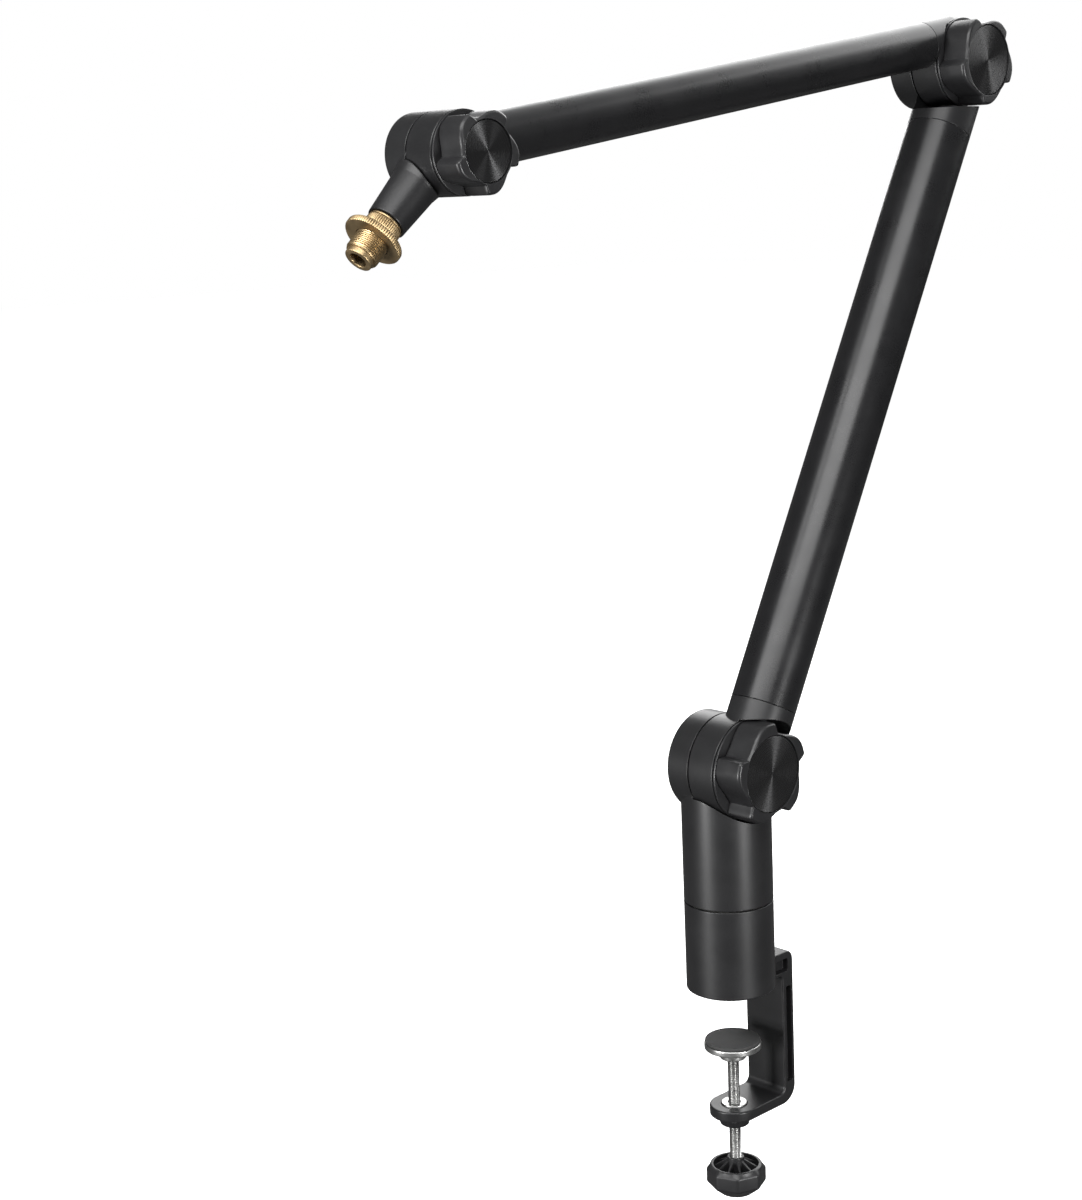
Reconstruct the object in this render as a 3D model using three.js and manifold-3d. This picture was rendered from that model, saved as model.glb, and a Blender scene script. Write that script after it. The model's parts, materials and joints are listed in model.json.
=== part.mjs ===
// A desk-clamp microphone boom arm. Millimetres, +Z up.
// The origin is the middle of the rubber foot, on the desk's top face. Every hinge axis is along X, and the
// arms lie in planes of constant X, each in a group whose +Z runs along the arm from its hinge.
import * as THREE from "three";
import { mergeVertices } from "three/addons/utils/BufferGeometryUtils.js";
import Module from "manifold-3d";

const wasm = await Module();
wasm.setup();

// ---------------------------------------------------------------- driving dimensions

const GAP = 0.3; // between two pieces that touch
const SEAM = GAP / 2; // each side of the plane between the halves of a hinge
const ROUND = 40; // facets of a large cylinder
const FINE = 20; // facets of a small one
const DEGREE = Math.PI / 180;

const RISER_R = 24;
const RISER_SPLIT = 50; // height of the swivel's seam
const HINGE_X = -2; // seam plane of all hinges, off the riser's axis
const HINGE_Z = 124.5;

const LOWER = { length: 411, lean: 28.3, tubeR: 17.5, wall: 1.6, tubeX: 15.5, seam: 34.5, seamTop: 32 };
const UPPER = { length: 374, droop: 6.4, tubeR: 12.5, wall: 1.5, tubeX: 8.5, seam: 26, seamHead: 24 };
const UPPER_RISE = { elbow: 13, head: 2.5 }; // the upper tube's axis above the two hinges
const STUB_DOWN = 42; // degrees below the horizontal

const LEFT_HALF = 15; // width of a hinge's left half
const RIGHT_HALF = 17; // of its right half
const FLANGE = { from: 17.3, to: 18.8 }; // the knob's collar
const BASE = { r: 27, valley: 21.6, face: 20.2, front: 35.5, flank: 9, bolt: 4, disc: 14 };
const ELBOW = { r: 24, valley: 20.1, face: 18.6, front: 35, flank: 40, bolt: 4, disc: 13 };
const HEAD = { r: 19, valley: 15, face: 13.5, front: 34, flank: 50, bolt: 3, disc: 10 };
const LOBES = 5;
const SWEEP = 0.6; // clearance round a half that turns in a saddle

const FRAME = { half: 13.5, inner: 27, outer: 36, top: 14, jawTop: -67.5, jawBottom: -73.5 };
const SCREW_R = 3.2;
const PAD_TOP = -30; // under a desk top of 30 mm
const CLAMP_KNOB = { top: -102.7, bottom: -119, r: 16.3, mouth: 12.4, hub: 4.6, ribs: 10 };

const STUB = { root: 10.8, end: 9.2, length: 43.4 };
const THREAD_R = 7.94; // 5/8-27
const THREAD_END = 63.5;
const NUT = { r: 14, from: 51.8, to: 54.8, teeth: 32 };

const TUBE_TILT = Math.atan((UPPER_RISE.elbow - UPPER_RISE.head) / UPPER.length);

// ---------------------------------------------------------------- solids

// A closed three.js geometry as a manifold solid.
function solid(geometry) {
  const bare = geometry.index ? geometry.toNonIndexed() : geometry;
  const shell = new THREE.BufferGeometry().setAttribute("position", bare.getAttribute("position"));
  const merged = mergeVertices(shell, 1e-4);
  const corners = merged.index.array;
  const kept = [];
  for (let i = 0; i < corners.length; i += 3) {
    const [a, b, c] = corners.slice(i, i + 3);
    if (a !== b && b !== c && c !== a) kept.push(a, b, c);
  }
  const vertProperties = merged.getAttribute("position").array;
  const made = manifoldOf(vertProperties, kept);
  return made.volume() > 0 ? made : manifoldOf(vertProperties, kept.reverse());
}

function manifoldOf(vertProperties, triangles) {
  return new wasm.Manifold(new wasm.Mesh({ numProp: 3, vertProperties, triVerts: Uint32Array.from(triangles) }));
}

const add = (first, ...others) => others.reduce((sum, other) => sum.add(other), first);
const cut = (first, ...others) => others.reduce((rest, other) => rest.subtract(other), first);

// Profiles are [radius, height] pairs. One that starts and ends on the axis, or closes, makes one body.
function latheZ(profile, facets = ROUND) {
  const points = profile.map(([r, z]) => new THREE.Vector2(r, z));
  return new THREE.LatheGeometry(points, facets).rotateX(Math.PI / 2);
}

function latheX(profile, facets = ROUND) {
  const points = profile.map(([r, x]) => new THREE.Vector2(r, x));
  return new THREE.LatheGeometry(points, facets).rotateZ(-Math.PI / 2);
}

// A cylinder's profile with both edges chamfered.
function pinProfile(r, from, to, chamfer = 0.6) {
  return [
    [0, from],
    [r - chamfer, from],
    [r, from + chamfer],
    [r, to - chamfer],
    [r - chamfer, to],
    [0, to],
  ];
}

function ringProfile(inner, outer, from, to, chamfer = 0.2) {
  return [
    [inner, from],
    [outer - chamfer, from],
    [outer, from + chamfer],
    [outer, to - chamfer],
    [outer - chamfer, to],
    [inner, to],
    [inner, from],
  ];
}

const pinZ = (r, from, to, facets = FINE) => solid(latheZ(pinProfile(r, from, to, 0), facets));
const pinX = (r, from, to, facets = ROUND) => solid(latheX(pinProfile(r, from, to, 0), facets));

function block(x0, x1, y0, y1, z0, z1) {
  const geometry = new THREE.BoxGeometry(x1 - x0, y1 - y0, z1 - z0);
  return solid(geometry.translate((x0 + x1) / 2, (y0 + y1) / 2, (z0 + z1) / 2));
}

// Rings of equally many points, in order along the axis, joined and closed by a fan at each end.
function loft(rings) {
  const count = rings[0].length;
  const positions = [];
  const face = (...points) => points.forEach((point) => positions.push(point.x, point.y, point.z));
  for (let k = 0; k + 1 < rings.length; k++) {
    for (let i = 0; i < count; i++) {
      const j = (i + 1) % count;
      face(rings[k][i], rings[k][j], rings[k + 1][j]);
      face(rings[k][i], rings[k + 1][j], rings[k + 1][i]);
    }
  }
  const middle = (ring) => ring.reduce((sum, point) => sum.clone().add(point)).multiplyScalar(1 / count);
  const first = middle(rings[0]);
  const last = middle(rings.at(-1));
  for (let i = 0; i < count; i++) {
    const j = (i + 1) % count;
    face(first, rings[0][j], rings[0][i]);
    face(last, rings.at(-1)[i], rings.at(-1)[j]);
  }
  return new THREE.BufferGeometry().setAttribute("position", new THREE.Float32BufferAttribute(positions, 3));
}

// One ring of a loft: radiusAt(angle) round the Z axis at height z.
function ring(count, z, radiusAt) {
  return Array.from({ length: count }, (_, i) => {
    const angle = (2 * Math.PI * i) / count;
    const r = radiusAt(angle);
    return new THREE.Vector3(r * Math.cos(angle), r * Math.sin(angle), z);
  });
}

// An outline in the YZ plane, carried along X.
function extrudeX(shape, x0, x1, bevel = 0) {
  const options = { depth: x1 - x0 - 2 * bevel, curveSegments: 6 };
  Object.assign(options, { bevelEnabled: bevel > 0, bevelThickness: bevel, bevelSize: bevel });
  Object.assign(options, { bevelOffset: -bevel, bevelSegments: 1 });
  const basis = new THREE.Matrix4().makeBasis(
    new THREE.Vector3(0, 1, 0),
    new THREE.Vector3(0, 0, 1),
    new THREE.Vector3(1, 0, 0),
  );
  return new THREE.ExtrudeGeometry(shape, options).applyMatrix4(basis).translate(x0 + bevel, 0, 0);
}

function polygon(points) {
  return new THREE.Shape(points.map(([a, b]) => new THREE.Vector2(a, b)));
}

// ---------------------------------------------------------------- materials and nodes

const finish = (color, roughness, metalness) => new THREE.MeshStandardMaterial({ color, roughness, metalness });
const MATERIALS = {
  body: () => finish(0x262627, 0.45, 0.3),
  tube: () => finish(0x2b2b2c, 0.42, 0.3),
  knob: () => finish(0x29292a, 0.5, 0),
  face: () => finish(0x1e1e1f, 0.3, 0.9),
  steel: () => finish(0xb4b4b2, 0.3, 1),
  brass: () => finish(0xb5924a, 0.3, 1),
  rubber: () => finish(0x1a1a1a, 0.85, 0),
  nylon: () => finish(0xd8d6cf, 0.6, 0),
};

function node(name, slot, shape) {
  let geometry = shape;
  if (!shape.isBufferGeometry) {
    const { vertProperties, triVerts } = shape.getMesh();
    geometry = new THREE.BufferGeometry();
    geometry.setAttribute("position", new THREE.Float32BufferAttribute(vertProperties, 3));
    geometry.setIndex(Array.from(triVerts));
  }
  geometry.computeVertexNormals();
  const mesh = new THREE.Mesh(geometry, MATERIALS[slot]());
  mesh.name = name;
  return mesh;
}

function frameAt(x, y, z, turn = 0) {
  const group = new THREE.Group();
  group.position.set(x, y, z);
  group.rotation.x = turn;
  return group;
}

// ---------------------------------------------------------------- hinge parts, with the axis along X at the origin

const headPocket = (hinge) => hinge.bolt * 2;

function leftHalf(hinge) {
  return solid(latheX(pinProfile(hinge.r, -LEFT_HALF, -SEAM, 0.9)));
}

function rightHalf(hinge) {
  return solid(latheX(pinProfile(hinge.r, SEAM, RIGHT_HALF, 0.3)));
}

// The saddle that the other half turns in, from the seam outwards.
const sweepRight = (hinge) => pinX(hinge.r + SWEEP, -SEAM, 80);
const sweepLeft = (hinge) => pinX(hinge.r + SWEEP, -80, SEAM);
const sweepKnob = (hinge) => pinX(hinge.r + SWEEP, RIGHT_HALF, 80);

// The bolt's hole, with a pocket for its head and the mouth that the cap fills.
function leftBore(hinge) {
  const pocket = headPocket(hinge);
  return add(
    pinX(hinge.bolt + GAP, -LEFT_HALF - 1, 1, FINE),
    pinX(pocket, -LEFT_HALF - 1, -7, FINE),
    pinX(pocket + 1.3, -LEFT_HALF - 1, -13, FINE),
  );
}

function rightBore(hinge) {
  return add(pinX(hinge.bolt + GAP, -1, RIGHT_HALF + 1, FINE), pinX(hinge.disc + GAP, -1, 1.65, FINE));
}

function hingeBolt(hinge) {
  const head = latheX(pinProfile(hinge.bolt * 1.85, -12.7, -7.3, 0.5), 6);
  return add(solid(head), pinX(hinge.bolt, -8, 26.5, FINE));
}

function hingeCap(hinge) {
  return latheX(pinProfile(headPocket(hinge) + 1, -LEFT_HALF + 0.2, -13.3, 0.3), FINE);
}

function frictionDisc(hinge) {
  return latheX(ringProfile(hinge.bolt + GAP, hinge.disc, SEAM, 1.35), FINE);
}

// Five grip teeth: a steep flank centred on the angle flank, a round crest, then a slow fall to the next one.
function lobed(r, valley, flank) {
  const period = 360 / LOBES;
  const { smoothstep } = THREE.MathUtils;
  return (angle) => {
    const past = (((angle / DEGREE - flank - 4) % period) + period) % period;
    const fall = smoothstep(past, 12, 54) - smoothstep(past, period - 10, period - 1);
    return r - (r - valley) * fall;
  };
}

function knob(hinge) {
  const { r, valley, front, face } = hinge;
  const round = () => r;
  const count = LOBES * 10;
  const body = loft([
    ring(count, FLANGE.from, () => r - 0.4),
    ring(count, FLANGE.from + 0.4, round),
    ring(count, FLANGE.to, round),
    ring(count, FLANGE.to + 0.01, lobed(r - 0.15, valley, hinge.flank)),
    ring(count, front - 2.2, lobed(r - 0.15, valley, hinge.flank)),
    ring(count, front - 0.8, lobed(r - 0.7, valley - 0.3, hinge.flank)),
    ring(count, front, lobed(r - 2.1, valley - 1, hinge.flank)),
  ]);
  // The loft's +Z becomes +X and its +X, angle 0, becomes +Y.
  const toX = new THREE.Matrix4().makeBasis(
    new THREE.Vector3(0, 1, 0),
    new THREE.Vector3(0, 0, 1),
    new THREE.Vector3(1, 0, 0),
  );
  const recess = pinX(face + GAP, front - 1.8, front + 5);
  const pocket = pinX(hinge.bolt * 1.95, FLANGE.from - 1, 25.3, FINE);
  return cut(solid(body.applyMatrix4(toX)), recess, pocket, pinX(hinge.bolt + GAP, 20, 27, FINE));
}

function knobFace(hinge) {
  return latheX(pinProfile(hinge.face, hinge.front - 1.5, hinge.front - 0.6, 0.2));
}

function knobNut(hinge) {
  const body = solid(latheX(pinProfile(hinge.bolt * 1.85, 18.6, 25, 0.4), 6));
  return cut(body, pinX(hinge.bolt + GAP, 15, 30, FINE));
}

function addKnob(parent, name, hinge) {
  parent.add(
    node(name + "_knob", "knob", knob(hinge)),
    node(name + "_knob_face", "face", knobFace(hinge)),
    node(name + "_knob_nut", "steel", knobNut(hinge)),
  );
}

// A tube's end casting: a neck as wide as the tube, then the spigot that plugs it.
function neck(arm, seam, rise, tilt) {
  const inner = arm.tubeR - arm.wall - GAP;
  const profile = [
    [0, -6],
    [arm.tubeR - 5, -6],
    [arm.tubeR, 0],
    [arm.tubeR, seam - SEAM - 0.4],
    [arm.tubeR - 0.4, seam - SEAM],
    [inner, seam - SEAM],
    [inner, seam + 22],
    [inner - 1.5, seam + 24],
    [0, seam + 24],
  ];
  return solid(latheZ(profile).rotateX(tilt).translate(arm.tubeX, rise, 0));
}

function tube(arm, from, to) {
  return latheZ([
    [arm.tubeR - arm.wall, from],
    [arm.tubeR - 0.4, from],
    [arm.tubeR, from + 0.4],
    [arm.tubeR, to - 0.4],
    [arm.tubeR - 0.4, to],
    [arm.tubeR - arm.wall, to],
    [arm.tubeR - arm.wall, from],
  ]);
}

// The end of an arm that has a hinge's right half.
function rightKnuckle(hinge, arm, seam, rise = 0, tilt = 0) {
  const cleared = cut(neck(arm, seam, rise, tilt), sweepLeft(hinge), sweepKnob(hinge));
  return cut(add(cleared, rightHalf(hinge)), rightBore(hinge));
}

// ---------------------------------------------------------------- clamp

function clampFrame() {
  const { half, inner, outer, top, jawTop, jawBottom } = FRAME;
  const shape = new THREE.Shape();
  shape.moveTo(RISER_R - 8, 0.6);
  shape.lineTo(inner - 2, 0.6);
  shape.absarc(inner - 2, -1.4, 2, Math.PI / 2, 0, true);
  shape.lineTo(inner, jawTop + 4);
  shape.absarc(inner - 4, jawTop + 4, 4, 0, -Math.PI / 2, true);
  shape.lineTo(8, jawTop);
  shape.lineTo(8, jawBottom);
  shape.absarc(outer - 10, jawBottom + 10, 10, -Math.PI / 2, 0, false);
  shape.absarc(outer - 5, top - 5, 5, 0, Math.PI / 2, false);
  shape.lineTo(RISER_R - 8, top);
  const spine = solid(extrudeX(shape, -half, half, 1));

  const jawPlan = new THREE.Shape();
  jawPlan.moveTo(half, 20);
  jawPlan.absarc(0, 0, half, 0, Math.PI, true);
  jawPlan.lineTo(-half, 20);
  const depth = jawTop - jawBottom - 2;
  const bevel = { bevelThickness: 1, bevelSize: 1, bevelOffset: -1, bevelSegments: 1, curveSegments: 14 };
  const jaw = solid(new THREE.ExtrudeGeometry(jawPlan, { depth, ...bevel }).translate(0, 0, jawBottom + 1));
  const boss = solid(latheZ(pinProfile(8, jawBottom - 5.5, jawBottom + 3, 1)));

  let made = add(spine, jaw, boss);
  made = cut(made, pinZ(RISER_R + GAP, -1, 40, ROUND));
  for (const side of [-1, 1]) {
    const [x0, x1] = side < 0 ? [-half - 1, -half + 3.5] : [half - 3.5, half + 1];
    made = cut(made, block(x0, x1, 21.5, 31.5, 2.8, 10.2));
    made = cut(made, block(x0, x1, inner + 2.2, outer - 2.2, jawTop + 6, -6));
    made = cut(made, frameScrewBody(side * 5.2, GAP));
  }
  return cut(made, jawNutBody(GAP));
}

const frameScrewY = new THREE.Matrix4().makeRotationX(-Math.PI / 2);

// A socket-head screw along -Y, from the frame's back into the riser.
function frameScrewBody(x, grow) {
  const profile = [
    [0, 14 - grow],
    [2.4 + grow, 14 - grow],
    [2.4 + grow, FRAME.outer - 5 - grow],
    [4.1 + grow, FRAME.outer - 5 - grow],
    [4.1 + grow, FRAME.outer - 1 + 4 * grow],
    [0, FRAME.outer - 1 + 4 * grow],
  ];
  return solid(latheZ(profile, FINE).applyMatrix4(frameScrewY).translate(x, 0, 7));
}

function frameScrew(x) {
  const hex = latheZ(pinProfile(2, FRAME.outer - 3.5, FRAME.outer + 1, 0), 6);
  return cut(frameScrewBody(x, 0), solid(hex.applyMatrix4(frameScrewY).translate(x, 0, 7)));
}

function jawNutBody(grow) {
  const { jawTop, jawBottom } = FRAME;
  const profile = [
    [0, jawBottom - 5.5 - (grow ? 1 : 0)],
    [5.4 + grow, jawBottom - 5.5 - (grow ? 1 : 0)],
    [5.4 + grow, jawTop - 1 - grow],
    [7 + grow, jawTop - 1 - grow],
    [7 + grow, jawTop + 0.8 + grow],
    [0, jawTop + 0.8 + grow],
  ];
  return solid(latheZ(profile, FINE));
}

const jawNut = () => cut(jawNutBody(0), pinZ(SCREW_R + GAP, -100, -50));

function riserLower() {
  const cavity = RISER_R - 4.5;
  const bush = 10 + GAP;
  const body = latheZ([
    [0, 2.4],
    [22, 2.4],
    [22, 0.6],
    [RISER_R - 0.8, 0.6],
    [RISER_R, 1.4],
    [RISER_R, RISER_SPLIT - SEAM - 0.4],
    [RISER_R - 0.4, RISER_SPLIT - SEAM],
    [bush, RISER_SPLIT - SEAM],
    [bush, 42],
    [cavity, 42],
    [cavity, 12],
    [0, 12],
  ]);
  return cut(solid(body), frameScrewBody(-5.2, GAP), frameScrewBody(5.2, GAP));
}

// ---------------------------------------------------------------- clamp screw

function padPlate() {
  const socket = pinZ(SCREW_R + 0.8, -50, PAD_TOP - 6.1);
  const plate = solid(latheZ(pinProfile(15.5, PAD_TOP - 5.2, PAD_TOP - 1.8, 0.8)));
  const cup = solid(latheZ(pinProfile(7.2, PAD_TOP - 11, PAD_TOP - 5, 0.8), FINE));
  return cut(add(plate, cup), socket);
}

const padRubber = () => latheZ(pinProfile(15, PAD_TOP - 1.5, PAD_TOP, 0.4));

function clampScrew() {
  const tip = PAD_TOP - 6.4;
  return latheZ([[0, -107], [SCREW_R, -107], [SCREW_R, tip - 1], [SCREW_R - 1, tip], [0, tip]], FINE);
}

function clampKnob() {
  const { top, bottom, r, mouth, hub, ribs } = CLAMP_KNOB;
  const flats = 8;
  // A rounded octagon with a corner at angle 0.
  const rounded = (radius) => (angle) => radius * (1 - 0.025 * (1 - Math.cos(flats * angle)));
  const count = flats * 6;
  const body = loft([
    ring(count, bottom, () => 9.2),
    ring(count, bottom + 0.8, () => 10.4),
    ring(count, -113, rounded(r)),
    ring(count, -105, rounded(r)),
    ring(count, top, rounded(mouth + 1.1)),
  ]);
  const floor = bottom + 4.5;
  const cavity = solid(latheZ([[0, floor], [mouth - 1, floor], [mouth, top + 1], [0, top + 1]]));
  let made = add(cut(solid(body), cavity), solid(latheZ(pinProfile(hub, floor - 1, -98.6, 0.4), FINE)));
  const outline = [[3.9, floor - 1], [mouth, floor - 1], [mouth, top - 1.6], [3.9, -100]];
  for (let i = 0; i < ribs; i++) {
    const rib = extrudeX(polygon(outline), -0.5, 0.5).rotateZ((2 * Math.PI * i) / ribs);
    made = add(made, solid(rib));
  }
  return cut(made, pinZ(SCREW_R + GAP, -107 - GAP, -90));
}

// ---------------------------------------------------------------- riser's turning half

function riserUpper() {
  const column = latheZ([
    [0, RISER_SPLIT + SEAM],
    [RISER_R - 0.4, RISER_SPLIT + SEAM],
    [RISER_R, RISER_SPLIT + SEAM + 0.4],
    [RISER_R, HINGE_Z],
    [0, HINGE_Z],
  ]);
  const inFrame = (shape) => shape.translate([HINGE_X, 0, HINGE_Z]);
  // Behind the left half the column's top slopes down and out.
  const left = HINGE_X - LEFT_HALF;
  const slope = new THREE.Shape();
  slope.moveTo(left, HINGE_Z - 16);
  slope.lineTo(left, HINGE_Z + 10);
  slope.lineTo(left - 20, HINGE_Z + 10);
  slope.lineTo(left - 20, HINGE_Z - 50);
  const wedge = new THREE.ExtrudeGeometry(slope, { depth: 80, bevelEnabled: false });
  const body = cut(
    solid(column),
    inFrame(sweepRight(BASE)),
    solid(wedge.rotateX(Math.PI / 2).translate(0, 40, 0)),
  );
  return cut(
    add(body, inFrame(leftHalf(BASE))),
    inFrame(leftBore(BASE)),
    pinZ(7 + GAP, 40, 77.5),
    pinZ(21 + GAP, 40, RISER_SPLIT + 1.35),
  );
}

// ---------------------------------------------------------------- arms

// The lower arm's top: the elbow's left half beside the neck, joined by a web on the far side.
function lowerFork() {
  const outline = new THREE.Shape();
  outline.moveTo(-LEFT_HALF + 1, -10);
  outline.lineTo(-LEFT_HALF + 1, -18);
  outline.lineTo(-1.5, -31);
  outline.lineTo(8, -31);
  outline.lineTo(8, -10);
  const web = new THREE.ExtrudeGeometry(outline, { depth: 14, bevelEnabled: false });
  const joined = add(neck(LOWER, LOWER.seamTop, 0, 0), solid(web.rotateX(-Math.PI / 2).translate(0, -14, 0)));
  return cut(add(cut(joined, sweepRight(ELBOW)), leftHalf(ELBOW)), leftBore(ELBOW));
}

function headStub() {
  const profile = [
    [0, 0],
    [STUB.root, 0],
    [STUB.root, HEAD.r],
    [STUB.end, STUB.length - 0.5],
    [STUB.end - 0.5, STUB.length],
    [0, STUB.length],
  ];
  const body = add(cut(solid(latheZ(profile)), sweepRight(HEAD)), leftHalf(HEAD));
  return cut(body, leftBore(HEAD), pinZ(5 + GAP, 30, 50));
}

// A knurled rim: alternate points of the ring stand out.
function knurled(r, teeth, from, to, depth = 0.45) {
  const count = teeth * 2;
  const toothed = (angle) => (Math.round((angle * count) / (2 * Math.PI)) % 2 ? r - depth : r);
  return solid(
    loft([
      ring(count, from, () => r - depth),
      ring(count, from + depth, toothed),
      ring(count, to - depth, toothed),
      ring(count, to, () => r - depth),
    ]),
  );
}

function micStud() {
  const start = STUB.length;
  const shank = [
    [0, 31],
    [5, 31],
    [5, start + 2],
    [THREAD_R - 0.2, start + 2],
    [THREAD_R - 0.2, 50],
    [THREAD_R, 50.3],
    [THREAD_R, THREAD_END - 0.8],
    [THREAD_R - 1.3, THREAD_END],
    [THREAD_R - 1.3, THREAD_END + 2.5],
    [0, THREAD_END + 2.5],
  ];
  const collar = knurled(STUB.end - 0.7, 24, start + GAP, 49.8);
  return cut(add(solid(latheZ(shank)), collar), pinZ(4.1, 49, 80));
}

const nutWasher = () => latheZ(ringProfile(THREAD_R + GAP, 10.6, 50.3, 51.5));
const lockNut = () => cut(knurled(NUT.r, NUT.teeth, NUT.from, NUT.to), pinZ(THREAD_R + GAP, 40, 70, ROUND));

// ---------------------------------------------------------------- assembly

const group = new THREE.Group();
group.name = "boom_arm";

group.add(
  node("clamp_frame", "body", clampFrame()),
  node("riser_lower", "body", riserLower()),
  node("desk_foot", "rubber", latheZ(pinProfile(22 - GAP, 0, 2.1, 0.3))),
  node("frame_screw_left", "steel", frameScrew(-5.2)),
  node("frame_screw_right", "steel", frameScrew(5.2)),
  node("jaw_nut", "steel", jawNut()),
  node("swivel_bush", "nylon", latheZ(ringProfile(7 + GAP, 10, 42, RISER_SPLIT - 0.2), FINE)),
  node("pad_plate", "steel", padPlate()),
  node("pad_rubber", "rubber", padRubber()),
  node("clamp_screw", "steel", clampScrew()),
  node("clamp_knob", "knob", clampKnob()),
  node("riser_upper", "body", riserUpper()),
  node("swivel_post", "steel", latheZ(pinProfile(7, 36.6, 77.2, 0.5), FINE)),
  node("swivel_nut", "steel", latheZ(ringProfile(7 + GAP, 13, 37, 41.7, 0.4), FINE)),
  node("swivel_washer", "nylon", latheZ(ringProfile(10.6, 21, RISER_SPLIT + SEAM, RISER_SPLIT + 1.05), ROUND)),
);

const base = frameAt(HINGE_X, 0, HINGE_Z);
base.add(node("base_bolt", "steel", hingeBolt(BASE)), node("base_cap", "knob", hingeCap(BASE)));
addKnob(base, "base", BASE);

const lowerArm = frameAt(0, 0, 0, -LOWER.lean * DEGREE);
const lowerTube = node("lower_tube", "tube", tube(LOWER, LOWER.seam + SEAM, LOWER.length - LOWER.seamTop - SEAM));
lowerTube.position.x = LOWER.tubeX;
lowerArm.add(
  node("lower_knuckle", "body", rightKnuckle(BASE, LOWER, LOWER.seam)),
  node("base_friction_disc", "nylon", frictionDisc(BASE)),
  lowerTube,
);

const elbow = frameAt(0, 0, LOWER.length);
const fork = node("lower_fork", "body", lowerFork());
fork.rotation.x = Math.PI;
elbow.add(fork, node("elbow_bolt", "steel", hingeBolt(ELBOW)), node("elbow_cap", "knob", hingeCap(ELBOW)));

const upperArm = frameAt(0, 0, 0, (90 + UPPER.droop + LOWER.lean) * DEGREE);
const upperTube = node("upper_tube", "tube", tube(UPPER, UPPER.seam + SEAM, UPPER.length - UPPER.seamHead - SEAM));
upperTube.position.set(UPPER.tubeX, UPPER_RISE.elbow, 0);
upperTube.rotation.x = TUBE_TILT;
upperArm.add(
  node("upper_knuckle", "body", rightKnuckle(ELBOW, UPPER, UPPER.seam, UPPER_RISE.elbow, TUBE_TILT)),
  node("elbow_friction_disc", "nylon", frictionDisc(ELBOW)),
  upperTube,
);
// The knob turns on the lower arm's bolt, so its lobes keep the rest pose's angle in that frame.
const elbowKnob = frameAt(0, 0, 0, LOWER.lean * DEGREE);
addKnob(elbowKnob, "elbow", ELBOW);

const head = frameAt(0, 0, UPPER.length);
const headKnuckle = node(
  "head_knuckle",
  "body",
  rightKnuckle(HEAD, UPPER, UPPER.seamHead, -UPPER_RISE.head, TUBE_TILT),
);
headKnuckle.rotation.x = Math.PI;
head.add(headKnuckle);

const stub = frameAt(0, 0, 0, (STUB_DOWN - UPPER.droop) * DEGREE);
stub.add(
  node("head_stub", "body", headStub()),
  node("head_bolt", "steel", hingeBolt(HEAD)),
  node("head_cap", "knob", hingeCap(HEAD)),
  node("head_friction_disc", "nylon", frictionDisc(HEAD)),
  node("mic_stud", "brass", micStud()),
  node("nut_washer", "brass", nutWasher()),
  node("lock_nut", "brass", lockNut()),
);
const headKnob = frameAt(0, 0, 0, -(90 + UPPER.droop) * DEGREE);
addKnob(headKnob, "head", HEAD);

head.add(stub, headKnob);
upperArm.add(head);
elbow.add(upperArm, elbowKnob);
lowerArm.add(elbow);
base.add(lowerArm);
group.add(base);

export default group;
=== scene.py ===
import json
import math

import bmesh
import bpy
from bpy.props import FloatProperty, FloatVectorProperty, IntProperty, PointerProperty
from mathutils import Matrix, Vector


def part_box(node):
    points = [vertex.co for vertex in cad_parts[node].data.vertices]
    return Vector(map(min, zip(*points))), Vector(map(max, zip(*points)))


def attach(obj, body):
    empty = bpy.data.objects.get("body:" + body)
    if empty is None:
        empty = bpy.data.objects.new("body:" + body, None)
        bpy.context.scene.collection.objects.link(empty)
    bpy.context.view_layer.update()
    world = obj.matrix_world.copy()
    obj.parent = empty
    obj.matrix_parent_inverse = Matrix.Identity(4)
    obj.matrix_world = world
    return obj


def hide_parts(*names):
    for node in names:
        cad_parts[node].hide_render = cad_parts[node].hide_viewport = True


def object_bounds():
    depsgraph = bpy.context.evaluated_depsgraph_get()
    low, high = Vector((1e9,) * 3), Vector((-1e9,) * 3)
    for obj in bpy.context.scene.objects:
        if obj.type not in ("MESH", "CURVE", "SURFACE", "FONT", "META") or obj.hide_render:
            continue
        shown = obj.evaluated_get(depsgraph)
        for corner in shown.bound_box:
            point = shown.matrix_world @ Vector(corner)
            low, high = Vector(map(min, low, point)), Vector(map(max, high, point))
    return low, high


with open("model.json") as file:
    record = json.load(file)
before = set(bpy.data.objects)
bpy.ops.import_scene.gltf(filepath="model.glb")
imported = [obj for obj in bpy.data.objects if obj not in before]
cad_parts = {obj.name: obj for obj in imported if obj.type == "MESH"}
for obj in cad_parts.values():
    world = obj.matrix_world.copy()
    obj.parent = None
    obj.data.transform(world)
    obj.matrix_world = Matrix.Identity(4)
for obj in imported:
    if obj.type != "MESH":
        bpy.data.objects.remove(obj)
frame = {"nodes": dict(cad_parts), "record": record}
CAD_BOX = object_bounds()

bl_info = {
    "name": "Desk Clamp Boom Arm",
    "version": (1, 0, 0),
    "blender": (4, 5, 0),
    "location": "3D View > Sidebar > Boom Arm",
    "description": "Builds the finished look of a desk-clamp microphone boom arm round its frame",
    "category": "Object",
}

# Lengths below are in millimetres, in the frame's own coordinates; the pieces are scaled to metres when made.
MM = 0.001
GAP = 0.3  # between two pieces that touch
SEAM = GAP / 2
SWEEP = 0.9  # clearance round a half that turns in a saddle
LINE = 0.4  # half the width of the dark line between two halves
HINGE_X, HINGE_Z = -2.0, 124.5
LEFT_HALF, RIGHT_HALF = 15.0, 17.0
FLANGE_FROM, FLANGE_TO = 17.3, 18.8
LOBES = 5

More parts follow.
